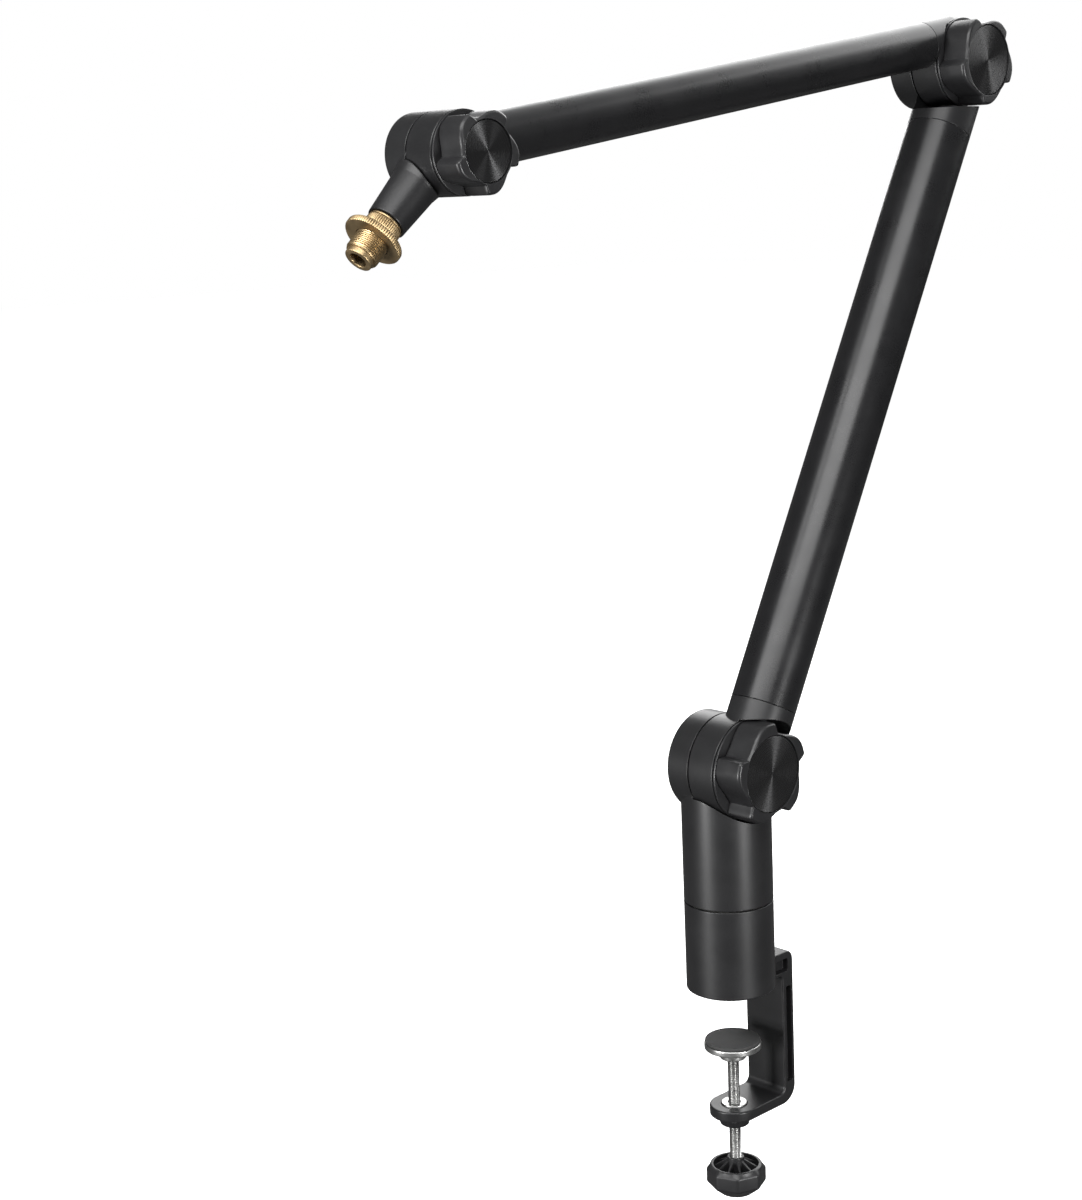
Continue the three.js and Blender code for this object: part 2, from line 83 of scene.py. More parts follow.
BASE = dict(r=27.0, valley=21.6, face=20.2, front=35.5, flank=153, bolt=4.0)
ELBOW = dict(r=24.0, valley=20.1, face=18.6, front=35.0, flank=183, bolt=4.0)
HEAD = dict(r=19.0, valley=15.0, face=13.5, front=34.0, flank=192, bolt=3.0)

LOWER_LENGTH, LOWER_LEAN = 411.0, 28.3
LOWER_TUBE = dict(r=17.5, x=15.5, seam=34.5, seam_top=43.0)
SHOULDER = 24.5  # the fork's shoulder below the elbow's axis, level when the arm stands as stored
UPPER_LENGTH, UPPER_DROOP = 374.0, 6.4
UPPER_TUBE = dict(r=12.5, x=8.5, seam=26.0, seam_head=24.0)
RISE_ELBOW, RISE_HEAD = 13.0, 2.5  # the upper tube's axis above its two hinges
TUBE_TILT = math.atan((RISE_ELBOW - RISE_HEAD) / UPPER_LENGTH)
STUB_DOWN = 42.0
STUB_ROOT, STUB_END, STUB_LENGTH = 10.8, 9.2, 43.4

RISER_R = (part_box("riser_lower")[1].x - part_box("riser_lower")[0].x) / 2 / MM
RISER_SPLIT = 50.0
JAW_TOP, JAW_BOTTOM = -67.5, -73.5
FRAME_HALF, FRAME_INNER, FRAME_OUTER, FRAME_TOP = 13.5, 27.0, 36.0, 14.0
PAD_TOP = -30.0
SCREW_R = 3.2
THREAD_R, THREAD_END = 7.94, 63.5
THREAD_PITCH = 25.4 / 27
FOOT_R, FOOT_TOP = 21.7, 2.1
FRAME_SCREW_X, FRAME_SCREW_Z = 5.2, 7.0
NUT_BODY_R, NUT_FLANGE_R = 5.4, 7.0
BOSS_R, BOSS_DROP = 8.0, 5.5
PAD_PLATE_R, PAD_R = 15.5, 15.0
STUD_BORE, STUD_FROM = 4.1, 49.0
LOCK_NUT_R, WASHER_R = 14.0, 10.6
CAP_DEPTH = 12.9  # from the seam to the bottom of the recess over a bolt's head
FAR = 60.0  # past the end of anything that a cut has to reach
TUBE_WALL = 1.6

# The stage, in metres
FLOOR_HALF = 12.0
FLOOR_DROP = 0.1  # room under the clamp for the screw's travel and a hanging arm
FLOOR_GLOW, FLOOR_BOUNCE = 0.74, 0.06  # light that the paper adds in view, and its grey to the arm
ROOM_LIGHT = 0.11
CAMERA_AT = Vector((0.72517, -0.80435, 0.42864))
CAMERA_TURN = (46.75, -10.85, -2.47)  # yaw, pitch and roll in degrees
CAMERA_LENS, CAMERA_SHIFT = 70.16, (-0.00775, -0.00862)


def turn(degrees):
    return Matrix.Rotation(math.radians(degrees), 4, "X")


def shift(x, y, z):
    return Matrix.Translation((x, y, z))


WORLD = Matrix.Identity(4)
AT_BASE = shift(HINGE_X, 0, HINGE_Z)
AT_LOWER = AT_BASE @ turn(-LOWER_LEAN)
AT_ELBOW = AT_LOWER @ shift(0, 0, LOWER_LENGTH)
AT_UPPER = AT_ELBOW @ turn(90 + UPPER_DROOP + LOWER_LEAN)
AT_HEAD = AT_UPPER @ shift(0, 0, UPPER_LENGTH)
AT_STUB = AT_HEAD @ turn(STUB_DOWN - UPPER_DROOP)
AT_ELBOW_KNOB = AT_ELBOW @ turn(LOWER_LEAN)
AT_HEAD_KNOB = AT_HEAD @ turn(-(90 + UPPER_DROOP))
TO_X = Matrix(((0, 0, 1, 0), (1, 0, 0, 0), (0, 1, 0, 0), (0, 0, 0, 1)))  # +Z to +X, angle 0 to +Y


# ---------------------------------------------------------------- sizes and colours


class BoomArmSizes(bpy.types.PropertyGroup):
    """Sizes of the details that the finish adds to the frame"""

    round_steps: IntProperty(
        name="Round Steps", description="Sides of a large turned piece", default=144, min=24, max=256
    )
    edge_round: FloatProperty(
        name="Casting Edge", description="Rounding on the castings' cut edges",
        default=0.0005, min=0.0, unit="LENGTH", subtype="DISTANCE",
    )
    grain_size: FloatProperty(
        name="Coat Grain", description="Width of a grain in the powder coat",
        default=0.00045, min=0.0001, unit="LENGTH", subtype="DISTANCE",
    )
    screw_pitch: FloatProperty(
        name="Clamp Screw Pitch", description="Rise of the clamp screw's thread in one turn",
        default=0.001, min=0.0005, unit="LENGTH", subtype="DISTANCE",
    )
    collar_teeth: IntProperty(
        name="Collar Teeth", description="Ridges round the stud's collar", default=48, min=12
    )
    nut_teeth: IntProperty(
        name="Locknut Teeth", description="Ridges round the locknut", default=72, min=12
    )
    knob_ribs: IntProperty(
        name="Knob Ribs", description="Ribs inside the clamp knob", default=10, min=4, max=16
    )


def colour(name, description, value):
    return FloatVectorProperty(
        name=name, description=description, default=value, size=3, min=0.0, max=1.0, subtype="COLOR"
    )


class BoomArmFinishes(bpy.types.PropertyGroup):
    """Colours of the finishes"""

    casting: colour("Castings", "Powder coat on the hinges, riser and clamp", (0.009, 0.009, 0.0095))
    tube: colour("Tubes", "Coat on the arm's two tubes", (0.007, 0.007, 0.0075))
    knob: colour("Knobs", "Moulded knobs and caps", (0.008, 0.008, 0.0085))
    disc: colour("Knob Discs", "Spun metal in the front of each knob", (0.055, 0.055, 0.056))
    steel: colour("Steel", "Zinc-plated screws and nuts", (0.36, 0.36, 0.355))
    brass: colour("Brass", "Stud, washer and locknut", (0.3, 0.22, 0.12))
    rubber: colour("Rubber", "Foot and pad", (0.018, 0.018, 0.018))
    nylon: colour("Nylon", "Bushes and friction discs", (0.66, 0.65, 0.6))
    floor: colour("Floor", "Pale paper that the arm stands over", (0.62, 0.62, 0.62))


# ---------------------------------------------------------------- materials


class Shader:
    """A material under construction: links nodes with few words."""

    def __init__(self, name):
        self.material = bpy.data.materials.new(name)
        self.material.use_nodes = True
        self.tree = self.material.node_tree
        self.surface = self.tree.nodes["Principled BSDF"]
        self.place = self.add("ShaderNodeTexCoord").outputs["Object"]

    def add(self, kind, settings=None, **inputs):
        made = self.tree.nodes.new(kind)
        for key, value in (settings or {}).items():
            setattr(made, key, value)
        for key, value in inputs.items():
            self.feed(made, key.replace("_", " "), value)
        return made

    def feed(self, node, socket, value):
        if isinstance(value, bpy.types.NodeSocket):
            self.tree.links.new(value, node.inputs[socket])
        else:
            node.inputs[socket].default_value = value

    def set(self, **inputs):
        for key, value in inputs.items():
            self.feed(self.surface, key.replace("_", " "), value)

    def noise(self, size, detail=2.0, place=None):
        made = self.add("ShaderNodeTexNoise", Scale=1 / size, Detail=detail, Roughness=0.55)
        self.feed(made, "Vector", place or self.place)
        return made.outputs["Fac"]

    def between(self, factor, low, high):
        made = self.add("ShaderNodeMapRange", Value=factor, To_Min=low, To_Max=high)
        made.inputs["From Min"].default_value = 0.3
        made.inputs["From Max"].default_value = 0.7
        return made.outputs["Result"]

    def tint(self, factor, value, spread):
        made = self.add("ShaderNodeMix", {"data_type": "RGBA"})
        self.tree.links.new(factor, made.inputs[0])
        made.inputs[6].default_value = [c * (1 - spread) for c in value] + [1]
        made.inputs[7].default_value = [c * (1 + spread) for c in value] + [1]
        return made.outputs[2]

    def math(self, operation, first, second=0.0):
        made = self.add("ShaderNodeMath", {"operation": operation})
        self.feed(made, 0, first)
        self.feed(made, 1, second)
        return made.outputs[0]

    def bump(self, height, depth, strength, normal=None):
        made = self.add("ShaderNodeBump", Height=height, Distance=depth, Strength=strength)
        if normal:
            self.feed(made, "Normal", normal)
        return made.outputs["Normal"]

    def rounded(self, radius):
        made = self.add("ShaderNodeBevel", {"samples": 6}, Radius=radius)
        return made.outputs["Normal"]


def powder_coat(name, value, sizes, roughness, relief, edge):
    """Fine grain over slow changes of gloss, with soft edges on the casting."""
    s = Shader(name)
    grain = s.noise(sizes.grain_size, 3.0)
    clouds = s.noise(0.018, 3.0)
    specks = s.noise(sizes.grain_size * 4, 1.0)
    normal = s.rounded(edge) if edge else None
    normal = s.bump(specks, 0.00003, relief * 0.5, normal)
    s.set(
        Base_Color=s.tint(s.math("MULTIPLY", grain, clouds), value, 0.35),
        Roughness=s.between(s.math("ADD", s.math("MULTIPLY", clouds, 0.6), s.math("MULTIPLY", grain, 0.4)),
                            roughness - 0.04, roughness + 0.05),
        Normal=s.bump(grain, 0.00002, relief, normal),
        IOR=1.34,
    )
    return s.material


def moulded(name, value, sizes, roughness, relief):
    """Spark-eroded mould texture, with a faint sheen that varies at random over the surface."""
    s = Shader(name)
    pits = s.add("ShaderNodeTexVoronoi", Scale=1 / (sizes.grain_size * 0.9))
    s.feed(pits, "Vector", s.place)
    clouds = s.noise(0.012, 3.0)
    s.set(
        Base_Color=s.tint(clouds, value, 0.12),
        Roughness=s.between(clouds, roughness - 0.05, roughness + 0.05),
        Normal=s.bump(pits.outputs["Distance"], 0.00002, relief),
        IOR=1.36,
    )
    return s.material


def spun_disc(name, value, at):
    """Black metal turned on a lathe: fine rings about the hinge's axis."""
    s = Shader(name)
    centre = at.translation * MM
    offset = s.add("ShaderNodeVectorMath", {"operation": "SUBTRACT"})
    s.feed(offset, 0, s.place)
    offset.inputs[1].default_value = centre
    parts = s.add("ShaderNodeSeparateXYZ", Vector=offset.outputs[0])
    flat = s.add("ShaderNodeCombineXYZ", Y=parts.outputs["Y"], Z=parts.outputs["Z"])
    length = s.add("ShaderNodeVectorMath", {"operation": "LENGTH"})
    s.feed(length, 0, flat.outputs[0])
    radius = s.add("ShaderNodeCombineXYZ", X=length.outputs["Value"])
    rings = s.noise(0.00016, 4.0, radius.outputs[0])
    downward = s.math("MULTIPLY", parts.outputs["Z"], -1.0)
    groove = s.add("ShaderNodeCombineXYZ", Y=downward, Z=parts.outputs["Y"])
    along = s.add("ShaderNodeVectorTransform", {"vector_type": "VECTOR"}, Vector=groove.outputs[0])
    along.convert_from, along.convert_to = "OBJECT", "WORLD"
    s.set(
        Base_Color=s.tint(rings, value, 0.14),
        Metallic=0.92,
        Roughness=s.between(rings, 0.2, 0.32),
        Anisotropic=0.95,
        Tangent=along.outputs[0],
        Normal=s.bump(rings, 0.000006, 0.15),
    )
    return s.material


def metal(name, value, roughness, grain, relief, spread=0.1):
    """Plated or machined metal with fine scuffs."""
    s = Shader(name)
    fine = s.noise(grain, 4.0)
    stains = s.noise(0.006, 3.0)
    wear = s.math("MULTIPLY", s.math("ADD", fine, stains), 0.5)
    s.set(
        Base_Color=s.tint(stains, value, spread),
        Metallic=1.0,
        Roughness=s.between(wear, roughness - 0.07, roughness + 0.1),
        Normal=s.bump(fine, 0.00001, relief),
    )
    return s.material


FINISH = {}


def mix_finishes(scene):
    sizes, looks = scene.boom_arm_sizes, scene.boom_arm_finishes
    FINISH.update(
        body=powder_coat("casting_coat", looks.casting, sizes, 0.37, 0.35, sizes.edge_round),
        tube=powder_coat("tube_coat", looks.tube, sizes, 0.29, 0.2, 0),
        knob=moulded("knob_moulding", looks.knob, sizes, 0.4, 0.25),
        steel=metal("zinc_steel", looks.steel, 0.3, 0.0004, 0.3),
        brass=metal("turned_brass", looks.brass, 0.4, 0.0003, 0.3, spread=0.16),
        rubber=moulded("black_rubber", looks.rubber, sizes, 0.8, 0.4),
        nylon=moulded("natural_nylon", looks.nylon, sizes, 0.5, 0.1),
    )


# ---------------------------------------------------------------- meshes


def fillets(points, steps=4):
    """Corners given as (a, b, radius) become arcs; the result is plain (a, b) pairs along an open line."""
    made = []
    count = len(points)
    for i, point in enumerate(points):
        here = Vector(point[:2])
        radius = point[2] if len(point) > 2 else 0
        if not radius or i in (0, count - 1):
            made.append(tuple(here))
            continue
        back = Vector(points[i - 1][:2]) - here
        ahead = Vector(points[i + 1][:2]) - here
        half = back.angle(ahead) / 2
        run = min(radius / math.tan(half), back.length * 0.49, ahead.length * 0.49)
        start = here + back.normalized() * run
        end = here + ahead.normalized() * run
        for k in range(steps + 1):
            t = k / steps
            made.append(tuple(start * (1 - t) ** 2 + here * (2 * t * (1 - t)) + end * t * t))
    return made


def grid_mesh(rows, close_start=True, close_end=True):
    """Rings of equally many points joined into a body; a closed end gets a fan."""
    bm = bmesh.new()
    rings = [[bm.verts.new(point) for point in row] for row in rows]
    count = len(rings[0])
    for low, high in zip(rings, rings[1:]):
        for i in range(count):
            j = (i + 1) % count
            bm.faces.new((low[i], low[j], high[j], high[i]))
    for ring, wanted, flip in ((rings[0], close_start, True), (rings[-1], close_end, False)):
        if not wanted:
            continue
        middle = bm.verts.new(sum((v.co for v in ring), Vector()) / count)
        for i in range(count):
            pair = (ring[i], ring[(i + 1) % count])
            bm.faces.new((middle, *(reversed(pair) if flip else pair)))
    tidy_mesh(bm)
    return bm


def tidy_mesh(bm, distance=0.004):
    bmesh.ops.remove_doubles(bm, verts=bm.verts, dist=distance)
    bmesh.ops.dissolve_degenerate(bm, edges=bm.edges, dist=distance / 2)
    bmesh.ops.recalc_face_normals(bm, faces=bm.faces)


def turned(profile, steps, to_x=False):
    """A lathe-turned body from (radius, height, fillet) corners, closed on the axis where the line is open."""
    line = fillets(profile)
    closed = (Vector(line[0]) - Vector(line[-1])).length < 1e-6
    rows = []
    for r, z in line:
        row = []
        for i in range(steps):
            angle = 2 * math.pi * i / steps
            row.append(Vector((r * math.cos(angle), r * math.sin(angle), z)))
        rows.append(row)
    bm = grid_mesh(rows, not closed, not closed)
    if to_x:
        bm.transform(TO_X)
    return bm


def washer(inner, outer, low, high, edge=0.2):
    return [(inner, low), (outer, low, edge), (outer, high, edge), (inner, high), (inner, low)]


def pin(r, low, high, edge=0.4):
    return [(0, low), (r, low, edge), (r, high, edge), (0, high)]


def prism(outline, low, high, edge=0.0):
    """A closed outline of (a, b) pairs in the plane, pulled along +Z, with its rims rounded by edge."""
    outline = [Vector(p) for p in outline]
    count = len(outline)
    area = sum(a.cross(b) for a, b in zip(outline, outline[1:] + outline[:1]))
    if area < 0:
        outline.reverse()

    def inset(amount):
        row = []
        for i, here in enumerate(outline):
            before = (here - outline[i - 1]).normalized()
            after = (outline[(i + 1) % count] - here).normalized()
            inward = Vector((-(before + after).y, (before + after).x)).normalized()
            row.append(here + inward * amount / max(0.4, abs(Vector((-before.y, before.x)).dot(inward))))
        return row

    steps = 3
    stations = [(0.0, low)]
    if edge:
        turns = [math.pi / 2 * k / steps for k in range(steps + 1)]
        stations = [(edge * (1 - math.sin(t)), low + edge * (1 - math.cos(t))) for t in turns]
    stations += [(inward, high - (z - low)) for inward, z in reversed(stations)]
    bm = bmesh.new()
    rings = [[bm.verts.new((p.x, p.y, z)) for p in inset(amount)] for amount, z in stations]
    for lower, upper in zip(rings, rings[1:]):
        for i in range(count):
            j = (i + 1) % count
            bm.faces.new((lower[i], lower[j], upper[j], upper[i]))
    bm.faces.new(list(reversed(rings[0])))
    bm.faces.new(rings[-1])
    bmesh.ops.recalc_face_normals(bm, faces=bm.faces)
    return bm


def arc(cx, cy, r, start, end, steps=10):
    """Points on an arc, from one angle to another in degrees."""
    spread = [math.radians(start + (end - start) * k / steps) for k in range(steps + 1)]
    return [(cx + r * math.cos(a), cy + r * math.sin(a)) for a in spread]


def held(bm, name="part"):
    mesh = bpy.data.meshes.new(name)
    bm.to_mesh(mesh)
    bm.free()
    made = bpy.data.objects.new(name, mesh)
    bpy.context.scene.collection.objects.link(made)
    return made


def carve(bm, *steps):
    """Adds or cuts solids in turn: each step is ("UNION" or "DIFFERENCE", bmesh)."""
    body = held(bm)
    for operation, tool in steps:
        other = held(tool, "tool")
        cut = body.modifiers.new("cut", "BOOLEAN")
        cut.operation, cut.object, cut.solver = operation, other, "EXACT"
        graph = bpy.context.evaluated_depsgraph_get()
        shaped = bpy.data.meshes.new_from_object(body.evaluated_get(graph))
        body.modifiers.clear()
        body.data = shaped
        bpy.data.objects.remove(other)
    made = bmesh.new()
    made.from_mesh(body.data)
    bpy.data.objects.remove(body)
    if not made.faces:
        raise RuntimeError("A cut left nothing of the piece")
    return made


def joined(*bodies):
    first = bodies[0]
    for other in bodies[1:]:
        spare = bpy.data.meshes.new("spare")
        other.to_mesh(spare)
        other.free()
        first.from_mesh(spare)
    return first


def piece(name, bm, at, body, slot, stands_for=(), material=None, sharp=32):
    """Puts a finished body in its place in the scene, in metres, and ties it to the frame."""
    bmesh.ops.transform(bm, matrix=Matrix.Scale(MM, 4) @ at, verts=bm.verts)
    made = held(bm, name)
    made.data.shade_smooth()
    made.data.set_sharp_from_angle(angle=math.radians(sharp))
    even = made.modifiers.new("even_shading", "WEIGHTED_NORMAL")
    even.keep_sharp = True
    made.data.materials.append(material or FINISH[slot])
    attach(made, body)
    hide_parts(*(stands_for or (name.replace("_finish", ""),)))
    return made


# ---------------------------------------------------------------- hinge parts, axis along X


def steps_of(scale=1.0):
    return int(bpy.context.scene.boom_arm_sizes.round_steps * scale) // 4 * 4


def sweep(hinge, low, high):
    """The room that a hinge's drum and knob turn in, between two places along the axis."""
    r = hinge["r"] + SWEEP
    return turned([(0, low), (r, low), (r, high), (0, high)], steps_of(), True)


def pocket_radius(hinge):
    return hinge["bolt"] * 2 + 1.3


def left_drum(hinge):
    pocket, r = pocket_radius(hinge), hinge["r"]
    profile = [
        (0, -CAP_DEPTH), (pocket, -CAP_DEPTH, 0.2), (pocket, -LEFT_HALF, 0.4),
        (r, -LEFT_HALF, 1.3), (r, -LINE, 0.3), (0, -LINE),
    ]
    return turned(profile, steps_of(), True)


def cap_pocket(hinge):
    """The recess that the cap over the bolt's head sits in."""
    r, outside = pocket_radius(hinge), -LEFT_HALF - 3
    return turned([(0, outside), (r, outside), (r, -CAP_DEPTH), (0, -CAP_DEPTH)], steps_of(), True)


def right_drum(hinge):
    r = hinge["r"]
    return turned([(0, LINE), (r, LINE, 0.3), (r, RIGHT_HALF, 0.6), (0, RIGHT_HALF)], steps_of(), True)


def eased(value, start, end):
    t = min(1.0, max(0.0, (value - start) / (end - start)))
    return t * t * (3 - 2 * t)


def tooth_radius(r, foot, flank):
    """Grip teeth: a steep flank centred on angle flank, a round crest, then a slow fall to the next flank."""
    period = 360 / LOBES

    def at(angle):
        past = (math.degrees(angle) - flank - 4) % period
        fall = eased(past, 11, 54) - eased(past, period - 9, period)
        return r - (r - foot) * fall
    return at


def knob_body(hinge):
    r, valley, front, face = (hinge[k] for k in ("r", "valley", "front", "face"))
    lobe = tooth_radius(r - 0.1, valley, hinge["flank"])
    recess = face + GAP
    stations = [(lambda a: 9.0, FLANGE_FROM + 0.1)]
    stations += [(lambda a, d=d: r - d, z) for d, z in (
        (1.2, FLANGE_FROM + 0.1), (0.5, FLANGE_FROM + 0.14), (0.15, FLANGE_FROM + 0.32),
        (0.0, FLANGE_FROM + 0.6), (0.0, FLANGE_TO - 0.4), (0.1, FLANGE_TO - 0.15), (0.35, FLANGE_TO),
    )]
    stations += [(lambda a, d=d: min(r - 0.35, lobe(a) + d), FLANGE_TO + z) for d, z in (
        (-0.5, 0.0), (-0.8, 0.1), (-0.8, 0.45), (-0.15, 0.6), (0.0, 0.9),
    )]
    rounding = 1.9
    body_end = front - rounding
    stations += [(lobe, FLANGE_TO + 0.9 + (body_end - FLANGE_TO - 0.9) * k / 4) for k in range(1, 5)]
    for k in range(1, 7):
        t = math.pi / 2 * k / 6
        inward, forward = rounding * 0.8 * (1 - math.cos(t)), rounding * math.sin(t)
        stations.append((lambda a, d=inward: max(recess + 0.45, lobe(a) - d), body_end + forward))
    stations += [(lambda a, d=d: recess + d, front - z) for d, z in (
        (0.35, 0.0), (0.12, 0.06), (0.0, 0.3), (0.0, 1.8),
    )]
    count = LOBES * 44
    rows = []
    for radius, z in stations:
        angles = [2 * math.pi * i / count for i in range(count)]
        rows.append([Vector((radius(a) * math.cos(a), radius(a) * math.sin(a), z)) for a in angles])
    bm = grid_mesh(rows)
    bm.transform(TO_X)
    return bm


def knob_disc(hinge):
    face, front = hinge["face"], hinge["front"]
    profile = [(0, front - 1.5), (face, front - 1.5), (face, front - 0.55, 0.25), (0, front - 0.62)]
    return turned(profile, steps_of(), True)


def hex_bolt(hinge):
    """The bolt's shaft and hexagon head, with the corners of the head turned down."""
    r = hinge["bolt"]
    head = carve(turned(pin(r * 1.85, -12.7, -7.3, 0.1), 6, True),
                 ("INTERSECT", turned(pin(r * 1.78, -12.75, -7.25, 0.9), 48, True)))
    return joined(head, turned(pin(r, -8, 26.5, 0.5), 48, True))


def neck(tube, seam, rise=0.0, tilt=0.0):
    r = tube["r"]
    top = seam - SEAM
    bm = turned([(0, -6), (r - 5, -6), (r, 0), (r, top, 0.12), (r - 3, top), (0, top)], steps_of())
    bm.transform(shift(tube["x"], rise, 0) @ Matrix.Rotation(tilt, 4, "X"))
    return bm


def right_knuckle(hinge, tube, seam, rise=0.0, tilt=0.0):
    """A tube's end casting with the hinge's right half."""
    return carve(
        neck(tube, seam, rise, tilt),
        ("DIFFERENCE", sweep(hinge, -FAR, SEAM)),
        ("DIFFERENCE", sweep(hinge, RIGHT_HALF, FAR)),
        ("UNION", right_drum(hinge)),
    )


def tube_mesh(tube, low, high):
    r = tube["r"]
    return turned(washer(r - TUBE_WALL, r, low, high, 0.12), steps_of())


# ---------------------------------------------------------------- threads and knurls


def thread_mesh(r, depth, pitch, low, high, steps, lead=0.8, bore=0.0, bore_from=0.0):
    """A solid rod whose skin is a true helix, running out to the root at both ends."""
    profile = ((0.0, 1.0), (0.12, 1.0), (0.32, 0.5), (0.5, 0.0), (0.62, 0.0), (0.82, 0.5))
    turns = int((high - low) / pitch) + 2
    bm = bmesh.new()
    columns = []
    for i in range(steps):
        angle = 2 * math.pi * i / steps
        column = []
        for k in range(turns):
            for part, lift in profile:
                z = low - pitch + (k + part + i / steps) * pitch
                inside = min(z - low, high - z)
                radius = r - depth * (1 - lift) if inside > 0 else r - depth
                radius = min(radius, r - depth + max(0.0, inside) / lead * depth)
                z = min(max(z, low), high)
                column.append(bm.verts.new((radius * math.cos(angle), radius * math.sin(angle), z)))
        columns.append(column)
    per_turn = len(profile)
    for i in range(steps):
        here, after = columns[i], columns[(i + 1) % steps]
        skip = per_turn if i == steps - 1 else 0
        for j in range(len(here) - 1):
            if j + 1 + skip < len(after):
                bm.faces.new((here[j], after[j + skip], after[j + skip + 1], here[j + 1]))
    bmesh.ops.remove_doubles(bm, verts=bm.verts, dist=0.003)
    bmesh.ops.dissolve_degenerate(bm, edges=bm.edges, dist=0.002)
    rims = [e for e in bm.edges if e.is_boundary]
    bmesh.ops.holes_fill(bm, edges=rims, sides=0)
    bmesh.ops.recalc_face_normals(bm, faces=bm.faces)
    if bore:
        cutter = turned([(0, bore_from), (bore, bore_from), (bore, high + 5), (0, high + 5)], 64)
        return carve(bm, ("DIFFERENCE", cutter))
    return bm


def knurled_mesh(r, teeth, low, high, inner, depth=0.45):
    """A ring with straight ridges round its rim, their ends run out."""
    count = teeth * 4
    lift = (1.0, 0.55, 0.0, 0.55)
    stations = [(None, inner, low), (0.0, r - depth, low), (1.0, r, low + depth)]
    stations += [(1.0, r, high - depth), (0.0, r - depth, high), (None, inner, high)]
    rows = []
    for ridged, radius, z in stations:
        row = []
        for i in range(count):
            angle = 2 * math.pi * i / count
            here = radius - (depth * (1 - lift[i % 4]) if ridged else 0)
            row.append(Vector((here * math.cos(angle), here * math.sin(angle), z)))
        rows.append(row)
    rows.append(rows[0])
    return grid_mesh(rows, False, False)


# ---------------------------------------------------------------- operators


class BOOMARM_OT_finishes(bpy.types.Operator):
    """Mix the coats, plastics and metals"""

    bl_idname = "boom_arm.finishes"
    bl_label = "Mix Finishes"

    def execute(self, context):
        mix_finishes(context.scene)
        for entry in frame["record"]["subparts"]:
            node = frame["nodes"][entry["node"]]
            if entry["material_slot"] in FINISH:
                node.data.materials.clear()
                node.data.materials.append(FINISH[entry["material_slot"]])
        return {"FINISHED"}


